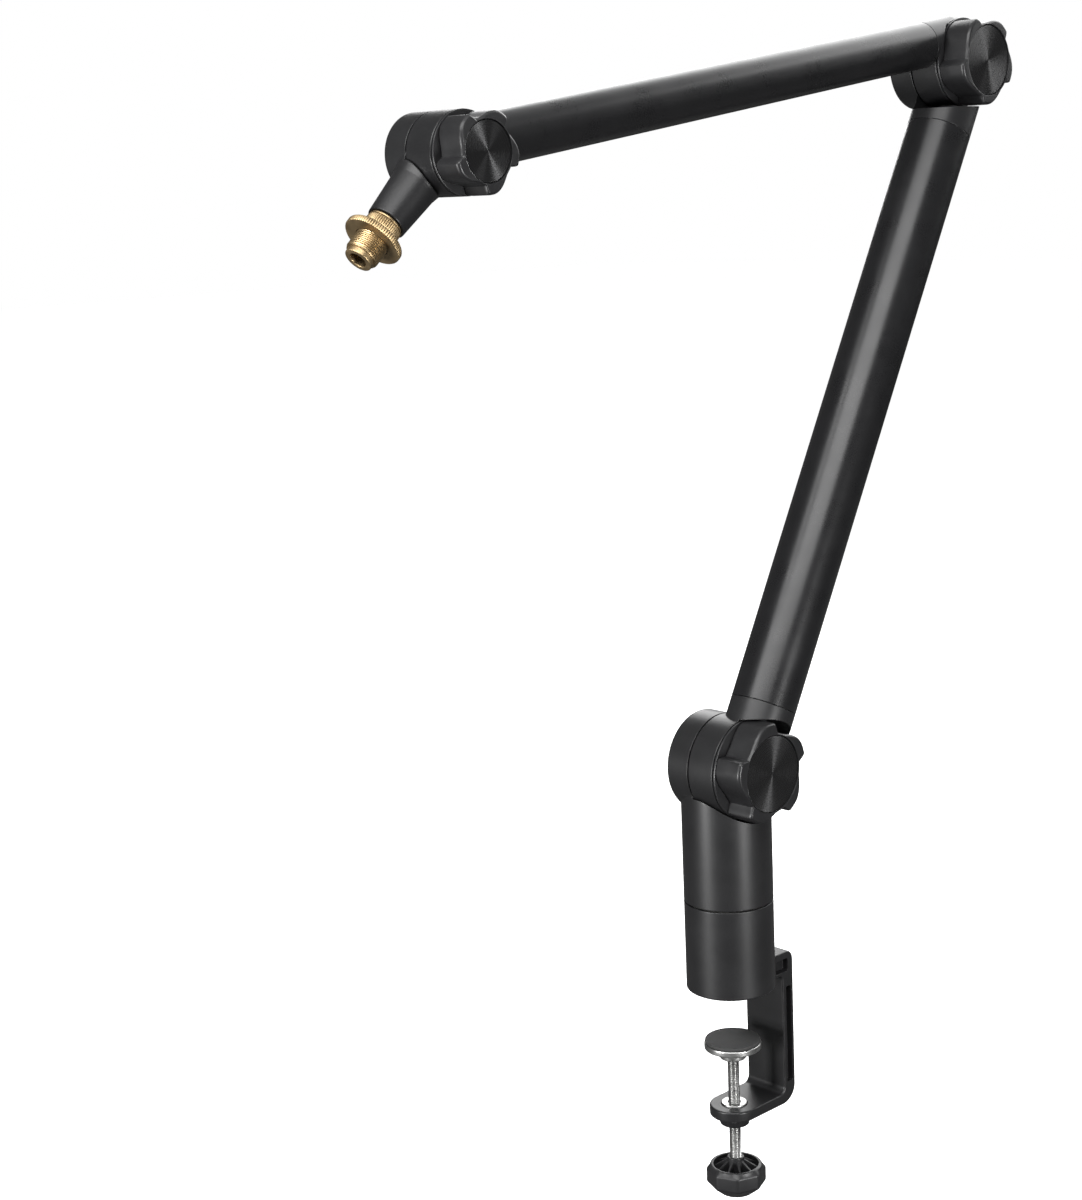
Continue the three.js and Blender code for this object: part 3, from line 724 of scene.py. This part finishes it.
class BOOMARM_OT_clamp(bpy.types.Operator):
    """Build the clamp's casting with its screws and nut, the riser's foot and lower half"""

    bl_idname = "boom_arm.clamp"
    bl_label = "Build Clamp"

    def execute(self, context):
        half, inner, outer, top = FRAME_HALF, FRAME_INNER, FRAME_OUTER, FRAME_TOP
        line = [(16, 0.6)] + arc(inner - 2, -1.4, 2, 90, 0, 6) + arc(inner - 4, JAW_TOP + 4, 4, 0, -90, 8)
        line += [(8, JAW_TOP), (8, JAW_BOTTOM)] + arc(outer - 10, JAW_BOTTOM + 10, 10, -90, 0, 14)
        line += arc(outer - 5, top - 5, 5, 0, 90, 8) + [(16, top)]
        spine = prism(line, -half, half, 1.0)
        spine.transform(TO_X)
        plan = arc(0, 0, half, 0, -180, 48) + [(-half, 22), (half, 22)]
        jaw = prism(plan, JAW_BOTTOM, JAW_TOP, 1.0)
        under = JAW_BOTTOM - BOSS_DROP
        boss = turned([(0, under), (BOSS_R, under, 0.8), (BOSS_R + 0.6, JAW_BOTTOM + 0.3),
                       (BOSS_R + 0.6, JAW_BOTTOM + 2), (0, JAW_BOTTOM + 2)], 96)
        cuts = [turned([(0, -2), (RISER_R + GAP, -2), (RISER_R + GAP, 40), (0, 40)], steps_of())]
        for side in (-1, 1):
            x0, x1 = sorted((side * (half - 3.5), side * (half + 2)))
            for y0, y1, z0, z1 in ((21.5, 31.5, 2.8, 10.2), (inner + 2.2, outer - 2.2, JAW_TOP + 6, -6)):
                pocket = prism(fillets([((y0 + y1) / 2, z0), (y1, z0, 1.4), (y1, z1, 1.4), (y0, z1, 1.4),
                                        (y0, z0, 1.4), ((y0 + y1) / 2 - 0.01, z0)]), x0, x1)
                pocket.transform(TO_X)
                cuts.append(pocket)
            cuts.append(self.screw_shape(side * FRAME_SCREW_X, GAP))
        bore, seat, seat_z = NUT_BODY_R + GAP, NUT_FLANGE_R + GAP, JAW_TOP - 1.3
        cuts.append(turned([(0, -90), (bore, -90), (bore, seat_z), (seat, seat_z), (seat, -60), (0, -60)], 64))
        body = carve(spine, ("UNION", jaw), ("UNION", boss), *[("DIFFERENCE", c) for c in cuts])
        piece("clamp_frame_finish", body, WORLD, "clamp", "body")
        for name, x in (("frame_screw_left", -FRAME_SCREW_X), ("frame_screw_right", FRAME_SCREW_X)):
            socket = turned(pin(2, outer - 3.5, outer + 1, 0), 6)
            socket.transform(shift(x, 0, FRAME_SCREW_Z) @ turn(-90))
            screw = carve(self.screw_shape(x, 0), ("DIFFERENCE", socket))
            piece(name + "_finish", screw, WORLD, "clamp", "steel")
        hole, nut_top = SCREW_R + GAP, JAW_TOP + 0.8
        nut = [(hole, under, 0.2), (NUT_BODY_R, under, 0.3), (NUT_BODY_R, JAW_TOP - 1),
               (NUT_FLANGE_R, JAW_TOP - 1), (NUT_FLANGE_R, nut_top, 0.35), (hole, nut_top, 0.3), (hole, under)]
        piece("jaw_nut_finish", turned(nut, 96), WORLD, "clamp", "steel")
        foot = turned([(0, 0), (FOOT_R, 0, 0.5), (FOOT_R, FOOT_TOP), (0, FOOT_TOP)], steps_of())
        piece("desk_foot_finish", foot, WORLD, "clamp", "rubber")
        recess, split = FOOT_R + GAP, RISER_SPLIT - LINE
        lower = [(0, FOOT_TOP + GAP), (recess, FOOT_TOP + GAP), (recess, 0.6, 0.2), (RISER_R, 0.6, 0.9),
                 (RISER_R, split, 0.35), (10.3, split), (10.3, 42), (19.5, 42), (19.5, 12), (0, 12)]
        piece("riser_lower_finish", turned(lower, steps_of()), WORLD, "clamp", "body")
        return {"FINISHED"}

    def screw_shape(self, x, grow):
        back = FRAME_OUTER
        profile = [(0, 14 - grow), (2.4 + grow, 14 - grow), (2.4 + grow, back - 5 - grow, 0.2),
                   (4.1 + grow, back - 5 - grow), (4.1 + grow, back - 1 + 4 * grow, 0 if grow else 0.5),
                   (0, back - 1 + 4 * grow)]
        bm = turned(profile, 48)
        bm.transform(shift(x, 0, FRAME_SCREW_Z) @ turn(-90))
        return bm


class BOOMARM_OT_clamp_screw(bpy.types.Operator):
    """Build the clamp's threaded screw, its ribbed knob and the pressure pad"""

    bl_idname = "boom_arm.clamp_screw"
    bl_label = "Build Clamp Screw"

    def execute(self, context):
        sizes = context.scene.boom_arm_sizes
        tip = PAD_TOP - 6.4
        pitch = sizes.screw_pitch / MM
        thread = thread_mesh(SCREW_R, pitch * 0.5, pitch, -107, tip - 0.4, 40)
        screw = joined(thread, turned(pin(SCREW_R - pitch * 0.5, tip - 1, tip, 0.3), 40))
        piece("clamp_screw_finish", screw, WORLD, "clamp_screw", "steel", sharp=50)
        piece("clamp_knob_finish", self.knob(sizes.knob_ribs), WORLD, "clamp_screw", "knob")
        socket_top, cup_bottom, under, over = (PAD_TOP - drop for drop in (6.1, 11.0, 5.2, 1.8))
        plate = [(0, socket_top), (4, socket_top), (4, cup_bottom, 0.3), (7.2, cup_bottom, 0.8),
                 (7.2, under, 0.6), (PAD_PLATE_R, under, 0.8), (PAD_PLATE_R, over, 0.7), (0, over)]
        piece("pad_plate_finish", turned(plate, 96), WORLD, "pressure_pad", "steel")
        rubber = [(0, PAD_TOP - 1.5), (PAD_R, PAD_TOP - 1.5), (PAD_R, PAD_TOP, 0.5), (0, PAD_TOP)]
        piece("pad_rubber_finish", turned(rubber, 96), WORLD, "pressure_pad", "rubber")
        return {"FINISHED"}

    def knob(self, ribs):
        """An eight-sided knob, open on top, with a hub and thin ribs in the hollow."""
        r, mouth, hub, floor = 16.3, 12.4, 4.6, -114.5
        flats = 8
        period = 2 * math.pi / flats

        def eight_sided(radius):
            def at(angle):
                off = (angle + period / 2) % period - period / 2
                flat = math.cos(period / 2) / math.cos(period / 2 - abs(off))
                corner = 0.985
                blend = max(0.0, min(1.0, (flat - corner + 0.012) / 0.024))
                return radius * (flat * (1 - blend) + min(flat, corner) * blend) / corner
            return at

        def even(radius):
            return lambda angle: radius

        line = [
            (even(8.6), -119), (even(9.1), -118.9), (even(9.6), -118.6), (even(10.3), -118.0),
            (eight_sided(15.3), -113.9), (eight_sided(15.95), -113.2), (eight_sided(r), -112.2),
            (eight_sided(r), -105.9), (eight_sided(r - 0.25), -105.2), (eight_sided(r - 0.8), -104.6),
            (even(mouth + 1.7), -103.1), (even(mouth + 1.15), -102.8), (even(mouth + 0.55), -102.7),
            (even(mouth + 0.12), -102.8), (even(mouth), -103.2), (even(mouth - 0.9), floor + 0.6),
            (even(mouth - 1.3), floor), (even(hub + 0.4), floor), (even(hub), floor + 0.4),
            (even(hub), -99.0), (even(hub - 0.15), -98.7), (even(hub - 0.5), -98.6),
            (even(SCREW_R + 0.3), -98.6), (even(SCREW_R + 0.3), -107.3),
        ]
        count = flats * 20
        rows = []
        for radius, z in line:
            angles = [2 * math.pi * i / count for i in range(count)]
            rows.append([Vector((radius(a) * math.cos(a), radius(a) * math.sin(a), z)) for a in angles])
        body = grid_mesh(rows)
        foot, rim = floor - 0.5, mouth - 0.2
        outline = [(3.9, foot), (rim, foot), (rim, -104.9), (4.2, -100.2), (3.9, -100.2)]
        for i in range(ribs):
            rib = prism(outline, -0.5, 0.5)
            rib.transform(Matrix.Rotation(2 * math.pi * i / ribs, 4, "Z") @ turn(90))
            body = joined(body, rib)
        return body


class BOOMARM_OT_riser(bpy.types.Operator):
    """Build the riser's turning half with the base hinge's left half, its bolt and cap"""

    bl_idname = "boom_arm.riser"
    bl_label = "Build Riser"

    def execute(self, context):
        low = RISER_SPLIT + LINE
        column = turned([(0, low), (RISER_R, low, 0.35), (RISER_R, HINGE_Z), (0, HINGE_Z)], steps_of())
        left = HINGE_X - LEFT_HALF
        inside, above = left + 0.5, HINGE_Z + 10
        slope = [(inside, HINGE_Z - 16), (inside, above), (left - 20, above), (left - 20, HINGE_Z - 50)]
        wedge = prism(slope, -40, 40)
        wedge.transform(turn(90))
        knob_sweep = sweep(BASE, -SEAM, 70)
        knob_sweep.transform(AT_BASE)
        drum = left_drum(BASE)
        drum.transform(AT_BASE)
        pocket = cap_pocket(BASE)
        pocket.transform(AT_BASE)
        body = carve(
            column,
            ("DIFFERENCE", wedge),
            ("DIFFERENCE", knob_sweep),
            ("UNION", drum),
            ("DIFFERENCE", pocket),
        )
        piece("riser_upper_finish", body, WORLD, "swivel", "body")
        bolt_and_cap("base", BASE, AT_BASE, "swivel")
        return {"FINISHED"}


def bolt_and_cap(name, hinge, at, body):
    piece(name + "_bolt_finish", hex_bolt(hinge), at, body, "steel")
    r = hinge["bolt"] * 2 + 1
    cap = [(0, -LEFT_HALF + 0.55), (r * 0.72, -LEFT_HALF + 0.5, 1.0), (r * 0.82, -LEFT_HALF + 0.2, 0.6),
           (r, -LEFT_HALF + 0.2, 0.4), (r, -13.3), (0, -13.3)]
    piece(name + "_cap_finish", turned(cap, 96, True), at, body, "knob")


class BOOMARM_OT_knobs(bpy.types.Operator):
    """Build the three toothed hinge knobs with their spun discs"""

    bl_idname = "boom_arm.knobs"
    bl_label = "Build Knobs"

    def execute(self, context):
        disc_colour = context.scene.boom_arm_finishes.disc
        for name, hinge, at in (
            ("base", BASE, AT_BASE), ("elbow", ELBOW, AT_ELBOW_KNOB), ("head", HEAD, AT_HEAD_KNOB)
        ):
            body = name + "_knob"
            piece(body + "_finish", knob_body(hinge), at, body, "knob", (body, body + "_nut"))
            face = spun_disc(name + "_spun_disc", disc_colour, at)
            piece(body + "_face_finish", knob_disc(hinge), at, body, "face", material=face)
        return {"FINISHED"}


class BOOMARM_OT_lower_arm(bpy.types.Operator):
    """Build the lower arm: its base knuckle, tube and elbow fork"""

    bl_idname = "boom_arm.lower_arm"
    bl_label = "Build Lower Arm"

    def execute(self, context):
        tube = LOWER_TUBE
        knuckle = right_knuckle(BASE, tube, tube["seam"])
        piece("lower_knuckle_finish", knuckle, AT_LOWER, "lower_arm", "body")
        length = tube_mesh(tube, tube["seam"] + SEAM, LOWER_LENGTH - tube["seam_top"] - SEAM)
        piece("lower_tube_finish", length, AT_LOWER @ shift(tube["x"], 0, 0), "lower_arm", "tube")
        fork = carve(
            neck(tube, tube["seam_top"]),
            ("UNION", self.web()),
            ("DIFFERENCE", sweep(ELBOW, -SEAM, FAR)),
            ("DIFFERENCE", self.above_shoulder()),
            ("UNION", left_drum(ELBOW)),
        )
        piece("lower_fork_finish", fork, AT_ELBOW @ turn(180), "lower_arm", "body")
        bolt_and_cap("elbow", ELBOW, AT_ELBOW, "lower_arm")
        return {"FINISHED"}

    def above_shoulder(self):
        """Everything above the fork's shoulder, from the hinge's seam to past the knob."""
        outline = [(-SEAM, -FAR), (FAR, -FAR), (FAR, FAR), (-SEAM, FAR)]
        bm = prism(outline, -SHOULDER, FAR)
        bm.transform(turn(LOWER_LEAN - 180))
        return bm

    def web(self):
        """The rib that carries the fork's left half, on the side away from the knob."""
        outline = [(-14, 10), (-14, 18), (-1.5, 31), (8, 31), (8, 10)]
        bm = prism(outline, 0, 14, 1.2)
        bm.transform(turn(90))
        return bm


class BOOMARM_OT_upper_arm(bpy.types.Operator):
    """Build the upper arm: its elbow knuckle, tube and head knuckle"""

    bl_idname = "boom_arm.upper_arm"
    bl_label = "Build Upper Arm"

    def execute(self, context):
        tube = UPPER_TUBE
        knuckle = right_knuckle(ELBOW, tube, tube["seam"], RISE_ELBOW, TUBE_TILT)
        piece("upper_knuckle_finish", knuckle, AT_UPPER, "upper_arm", "body")
        length = tube_mesh(tube, tube["seam"] + SEAM, UPPER_LENGTH - tube["seam_head"] - SEAM)
        at = AT_UPPER @ shift(tube["x"], RISE_ELBOW, 0) @ Matrix.Rotation(TUBE_TILT, 4, "X")
        piece("upper_tube_finish", length, at, "upper_arm", "tube")
        head = right_knuckle(HEAD, tube, tube["seam_head"], -RISE_HEAD, TUBE_TILT)
        piece("head_knuckle_finish", head, AT_HEAD @ turn(180), "upper_arm", "body")
        return {"FINISHED"}


class BOOMARM_OT_head(bpy.types.Operator):
    """Build the head's stub and its brass stud, washer and locknut"""

    bl_idname = "boom_arm.head"
    bl_label = "Build Head"

    def execute(self, context):
        sizes = context.scene.boom_arm_sizes
        end = STUB_LENGTH
        root = STUB_ROOT + 2.6
        flare = [(0, 4), (root, 4), (root, 12), (STUB_ROOT + 0.9, 16.5, 2), (STUB_ROOT, 21, 3),
                 (STUB_END, end, 0.6), (5.3, end, 0.3), (5.3, 30), (0, 30)]
        stub = carve(
            turned(flare, steps_of()),
            ("DIFFERENCE", sweep(HEAD, -SEAM, FAR)),
            ("UNION", left_drum(HEAD)),
            ("DIFFERENCE", cap_pocket(HEAD)),
        )
        piece("head_stub_finish", stub, AT_STUB, "head", "body")
        bolt_and_cap("head", HEAD, AT_STUB, "head")
        collar_r = STUB_END - 0.7
        collar = knurled_mesh(collar_r, sizes.collar_teeth, end + 1.4, STUD_FROM, 4.0)
        ring = turned(washer(4, collar_r - 0.2, end + GAP, end + 1.2), 96)
        shoulder, shoulder_top = collar_r - 0.7, STUD_FROM + 1.2
        neck_ring = turned([(4, end + 1), (shoulder, end + 1), (shoulder, shoulder_top, 0.3), (4, shoulder_top),
                            (4, end + 1)], 96)
        thread = thread_mesh(
            THREAD_R, 0.5, THREAD_PITCH, STUD_FROM + 0.8, THREAD_END, 72, 0.9, STUD_BORE, STUD_FROM
        )
        tip_r, tip_from, tip_to = THREAD_R - 1.3, THREAD_END - 1, THREAD_END + 2.5
        tip = [(STUD_BORE, tip_from), (tip_r, tip_from), (tip_r, tip_to, 0.5), (STUD_BORE, tip_to, 0.4),
               (STUD_BORE, tip_from)]
        shank = turned(pin(5, 31, end + 2, 0.3), 64)
        stud = joined(thread, collar, ring, neck_ring, turned(tip, 96), shank)
        piece("mic_stud_finish", stud, AT_STUB, "head", "brass", sharp=40)
        washer_body = turned(washer(THREAD_R + GAP, WASHER_R, 50.3, 51.5, 0.3), 96)
        piece("nut_washer_finish", washer_body, AT_STUB, "nut_slide", "brass", ("nut_washer",))
        nut = knurled_mesh(LOCK_NUT_R, sizes.nut_teeth, 51.8, 54.8, THREAD_R + GAP)
        piece("lock_nut_finish", nut, AT_STUB, "lock_nut", "brass", sharp=40)
        return {"FINISHED"}


def area_light(name, place, target, width, height, power):
    lamp = bpy.data.lights.new(name, "AREA")
    lamp.shape, lamp.size, lamp.size_y, lamp.energy = "RECTANGLE", width, height, power
    made = bpy.data.objects.new(name, lamp)
    made.location = place
    made.rotation_euler = (Vector(target) - Vector(place)).to_track_quat("-Z", "Y").to_euler()
    made.visible_camera = False
    bpy.context.scene.collection.objects.link(made)


class BOOMARM_OT_stage(bpy.types.Operator):
    """Lay the pale floor, hang the studio lights and set up the camera"""

    bl_idname = "boom_arm.stage"
    bl_label = "Set Stage"

    def execute(self, context):
        scene = context.scene
        pale = scene.boom_arm_finishes.floor
        floor_z = CAD_BOX[0].z - FLOOR_DROP
        s = Shader("floor_paper")
        fibre = s.noise(0.004, 3.0)
        seen = s.add("ShaderNodeLightPath").outputs["Is Camera Ray"]
        shade = s.add("ShaderNodeMix", {"data_type": "RGBA"})
        for socket, value in ((0, seen), (6, (*[FLOOR_BOUNCE] * 3, 1)), (7, s.tint(fibre, pale, 0.01))):
            s.feed(shade, socket, value)
        s.set(Base_Color=shade.outputs[2], Roughness=0.9, Specular_IOR_Level=0.1,
              Normal=s.bump(fibre, 0.0001, 0.05), Emission_Color=(1, 1, 1, 1),
              Emission_Strength=s.math("MULTIPLY", seen, FLOOR_GLOW))
        bm = bmesh.new()
        bmesh.ops.create_grid(bm, x_segments=24, y_segments=24, size=FLOOR_HALF)
        bm.transform(shift(0, 0, floor_z))
        floor = held(bm, "floor")
        floor.data.materials.append(s.material)

        world = bpy.data.worlds.new("studio")
        scene.world = world
        world.use_nodes = True
        tree = world.node_tree
        dim, white = tree.nodes["Background"], tree.nodes.new("ShaderNodeBackground")
        dim.inputs["Strength"].default_value = ROOM_LIGHT
        white.inputs["Color"].default_value = (1, 1, 1, 1)
        seen, mix = tree.nodes.new("ShaderNodeLightPath"), tree.nodes.new("ShaderNodeMixShader")
        dim.inputs["Color"].default_value = (1, 1, 1, 1)
        tree.links.new(seen.outputs["Is Camera Ray"], mix.inputs[0])
        tree.links.new(dim.outputs[0], mix.inputs[1])
        tree.links.new(white.outputs[0], mix.inputs[2])
        tree.links.new(mix.outputs[0], tree.nodes["World Output"].inputs["Surface"])

        sun = bpy.data.lights.new("overhead_softbox", "SUN")
        sun.energy, sun.angle = 1.0, math.radians(70)
        lamp = bpy.data.objects.new("overhead_softbox", sun)
        scene.collection.objects.link(lamp)
        area_light("back_softbox", (-0.35, 1.4, 1.15), (0, 0, 0.3), 2.6, 1.3, 60)
        area_light("left_softbox", (-0.25, -1.3, 0.03), (0, 0, 0.03), 0.3, 0.36, 25)
        area_light("right_softbox", (1.3, -0.12, 0.03), (0, 0, 0.03), 0.3, 0.36, 23)
        area_light("key_softbox", (0.45, -0.92, 1.25), (0, 0.1, 0.3), 1.9, 0.75, 52)

        cam = bpy.data.cameras.new("camera")
        cam.sensor_fit, cam.sensor_width, cam.lens = "HORIZONTAL", 36.0, CAMERA_LENS
        cam.shift_x, cam.shift_y = CAMERA_SHIFT
        made = bpy.data.objects.new("camera", cam)
        yaw, pitch, roll = (math.radians(a) for a in CAMERA_TURN)
        forward = Vector((-math.sin(yaw) * math.cos(pitch), math.cos(yaw) * math.cos(pitch), math.sin(pitch)))
        right = Vector((math.cos(yaw), math.sin(yaw), 0))
        up = right.cross(forward)
        tilted = right * math.cos(roll) + up * math.sin(roll)
        upright = up * math.cos(roll) - right * math.sin(roll)
        made.matrix_world = Matrix((
            (tilted.x, upright.x, -forward.x, CAMERA_AT.x),
            (tilted.y, upright.y, -forward.y, CAMERA_AT.y),
            (tilted.z, upright.z, -forward.z, CAMERA_AT.z),
            (0, 0, 0, 1),
        ))
        scene.collection.objects.link(made)
        scene.camera = made
        scene.view_settings.view_transform = "Standard"
        return {"FINISHED"}


# ---------------------------------------------------------------- add-on


class BOOMARM_PT_build(bpy.types.Panel):
    """Sizes, colours and build steps of the boom arm"""

    bl_idname = "BOOMARM_PT_build"
    bl_label = "Boom Arm"
    bl_space_type = "VIEW_3D"
    bl_region_type = "UI"
    bl_category = "Boom Arm"

    def draw(self, context):
        layout = self.layout
        for group in (context.scene.boom_arm_sizes, context.scene.boom_arm_finishes):
            box = layout.box()
            for key in group.__annotations__:
                box.prop(group, key)
        for operator in OPERATORS:
            layout.operator(operator.bl_idname)


OPERATORS = (
    BOOMARM_OT_stage,
    BOOMARM_OT_finishes,
    BOOMARM_OT_clamp,
    BOOMARM_OT_clamp_screw,
    BOOMARM_OT_riser,
    BOOMARM_OT_knobs,
    BOOMARM_OT_lower_arm,
    BOOMARM_OT_upper_arm,
    BOOMARM_OT_head,
)
CLASSES = (BoomArmSizes, BoomArmFinishes, *OPERATORS, BOOMARM_PT_build)


def register():
    for cls in CLASSES:
        bpy.utils.register_class(cls)
    bpy.types.Scene.boom_arm_sizes = PointerProperty(type=BoomArmSizes)
    bpy.types.Scene.boom_arm_finishes = PointerProperty(type=BoomArmFinishes)


def unregister():
    del bpy.types.Scene.boom_arm_finishes
    del bpy.types.Scene.boom_arm_sizes
    for cls in reversed(CLASSES):
        bpy.utils.unregister_class(cls)


def main():
    register()
    for operator in OPERATORS:
        group, name = operator.bl_idname.split(".")
        getattr(getattr(bpy.ops, group), name)()


if __name__ == "__main__":
    main()
